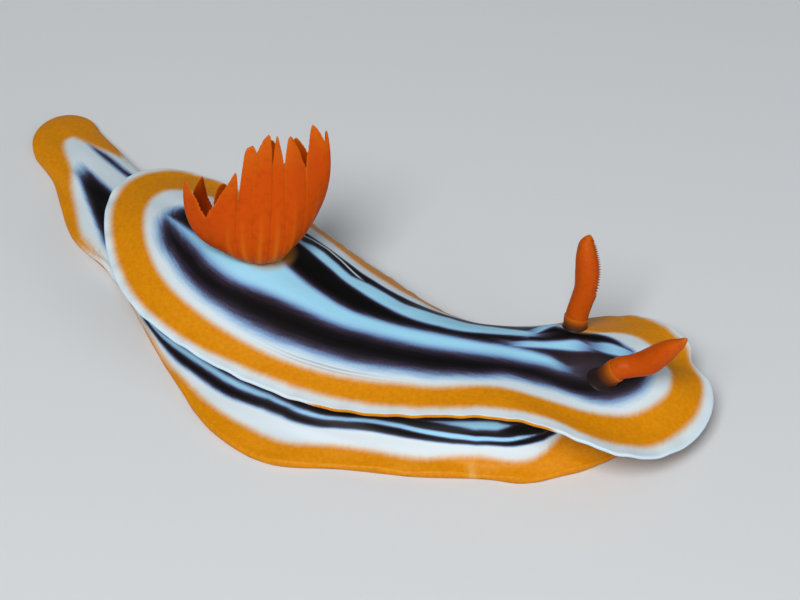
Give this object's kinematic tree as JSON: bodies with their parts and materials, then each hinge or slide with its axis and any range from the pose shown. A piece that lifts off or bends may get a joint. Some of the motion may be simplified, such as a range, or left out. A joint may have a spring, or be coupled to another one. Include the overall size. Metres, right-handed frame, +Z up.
{
  "type": "magnificent chromodoris sea slug",
  "caption": "Life-size still model of a crawling sea slug: striped oval mantle, spread foot with a tail, club-shaped feelers in sheaths and a ring-shaped gill plume.",
  "frame": {"origin": "middle of the bounding box, at the level of the flat sole", "axes": "+X towards the head, +Y towards the side that the tail bends to, +Z up"},
  "size_m": [0.0674, 0.0554, 0.0224],
  "materials": {
    "mantle": "wet skin, striped white, orange, black and light blue",
    "flank": "wet skin, black with light blue and white lines",
    "foot": "wet skin, orange margin with a white inner band",
    "gill": "wet, slightly translucent orange-red",
    "sheath": "wet, translucent yellow-orange"
  },
  "bodies": {
    "root": {"foot_front": "foot", "foot_middle": "foot", "foot_rear": "foot", "gill_plume": "gill", "gill_sheath": "sheath", "head": "flank", "mantle_front": "mantle", "mantle_middle": "mantle", "mantle_rear": "mantle", "oral_tentacle_left": "gill", "oral_tentacle_right": "gill", "rhinophore_left": "gill", "rhinophore_right": "gill", "rhinophore_sheath_left": "sheath", "rhinophore_sheath_right": "sheath", "tail": "foot", "torso_front": "flank", "torso_middle": "flank", "torso_rear": "flank"}
  },
  "joints": []
}
